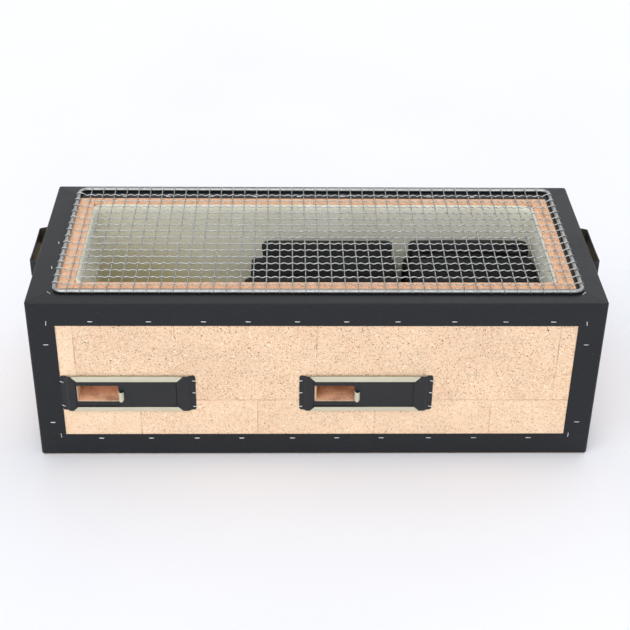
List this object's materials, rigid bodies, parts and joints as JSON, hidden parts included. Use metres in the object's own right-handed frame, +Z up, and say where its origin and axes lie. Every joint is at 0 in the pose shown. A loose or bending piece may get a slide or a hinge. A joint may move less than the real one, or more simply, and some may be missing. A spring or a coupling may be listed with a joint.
{
  "type": "hibachi grill",
  "caption": "Rectangular table hibachi of diatomite blocks in black sheet-steel bands, with sliding air vents, strap handles, charcoal and a lift-off crimped-wire cooking net.",
  "frame": {"origin": "middle of the face the grill rests on, on the plane of its four bottom bands", "axes": "+Z up; +X along the long side, to the right for a person facing the vents; +Y to the back, away from the vents"},
  "size_m": [0.5364, 0.2316, 0.174],
  "materials": {
    "diatomite": "matt sawn diatomaceous earth, peach, open pores",
    "mortar": "matt grey-olive refractory wash",
    "band_sheet": "satin black pre-coated sheet steel, cream reverse",
    "vent_sheet": "satin black pre-coated sheet steel, cream on the folded lips",
    "door_sheet": "satin black pre-coated sheet steel, cream finger tab",
    "grate_iron": "dull dark iron",
    "charcoal": "matt black hardwood charcoal",
    "net_wire": "bright zinc-plated wire",
    "staple_wire": "bright zinc-plated wire"
  },
  "bodies": {
    "grill": {"base_block_left_end": "diatomite", "base_block_left": "diatomite", "base_block_centre": "diatomite", "base_block_right": "diatomite", "base_block_right_end": "diatomite", "end_block_left": "diatomite", "end_block_right": "diatomite", "front_block_left": "diatomite", "front_block_right": "diatomite", "back_block_left": "diatomite", "back_block_right": "diatomite", "firebox_lining": "mortar", "top_rail_front": "band_sheet", "top_rail_back": "band_sheet", "top_rail_left": "band_sheet", "top_rail_right": "band_sheet", "bottom_rail_front": "band_sheet", "bottom_rail_back": "band_sheet", "bottom_rail_left": "band_sheet", "bottom_rail_right": "band_sheet", "corner_post_front_left": "band_sheet", "corner_post_front_right": "band_sheet", "corner_post_back_left": "band_sheet", "corner_post_back_right": "band_sheet", "vent_frame_left": "vent_sheet", "vent_frame_middle": "vent_sheet", "handle_left": "band_sheet", "handle_right": "band_sheet", "grate_bars": "grate_iron", "grate_runners": "grate_iron", "charcoal_lower": "charcoal", "charcoal_upper": "charcoal", "staples_front": "staple_wire", "staples_back": "staple_wire", "staples_ends": "staple_wire", "staples_top": "staple_wire", "staples_vents": "staple_wire", "staples_handles": "staple_wire"},
    "vent_door_left": {"vent_door_left": "door_sheet"},
    "vent_door_middle": {"vent_door_middle": "door_sheet"},
    "cooking_net": {"net_rim": "net_wire", "net_long_wires": "net_wire", "net_cross_wires": "net_wire"}
  },
  "joints": [
    {"name": "vent_left_slide", "type": "slide", "parent": "grill", "child": "vent_door_left", "axis": [1, 0, 0], "range_m": [-0.039, 0]},
    {"name": "vent_middle_slide", "type": "slide", "parent": "grill", "child": "vent_door_middle", "axis": [1, 0, 0], "range_m": [-0.0375, 0.0015]},
    {"name": "cooking_net_lift", "type": "slide", "parent": "grill", "child": "cooking_net", "axis": [0, 0, 1], "range_m": [0, 0.15]}
  ]
}
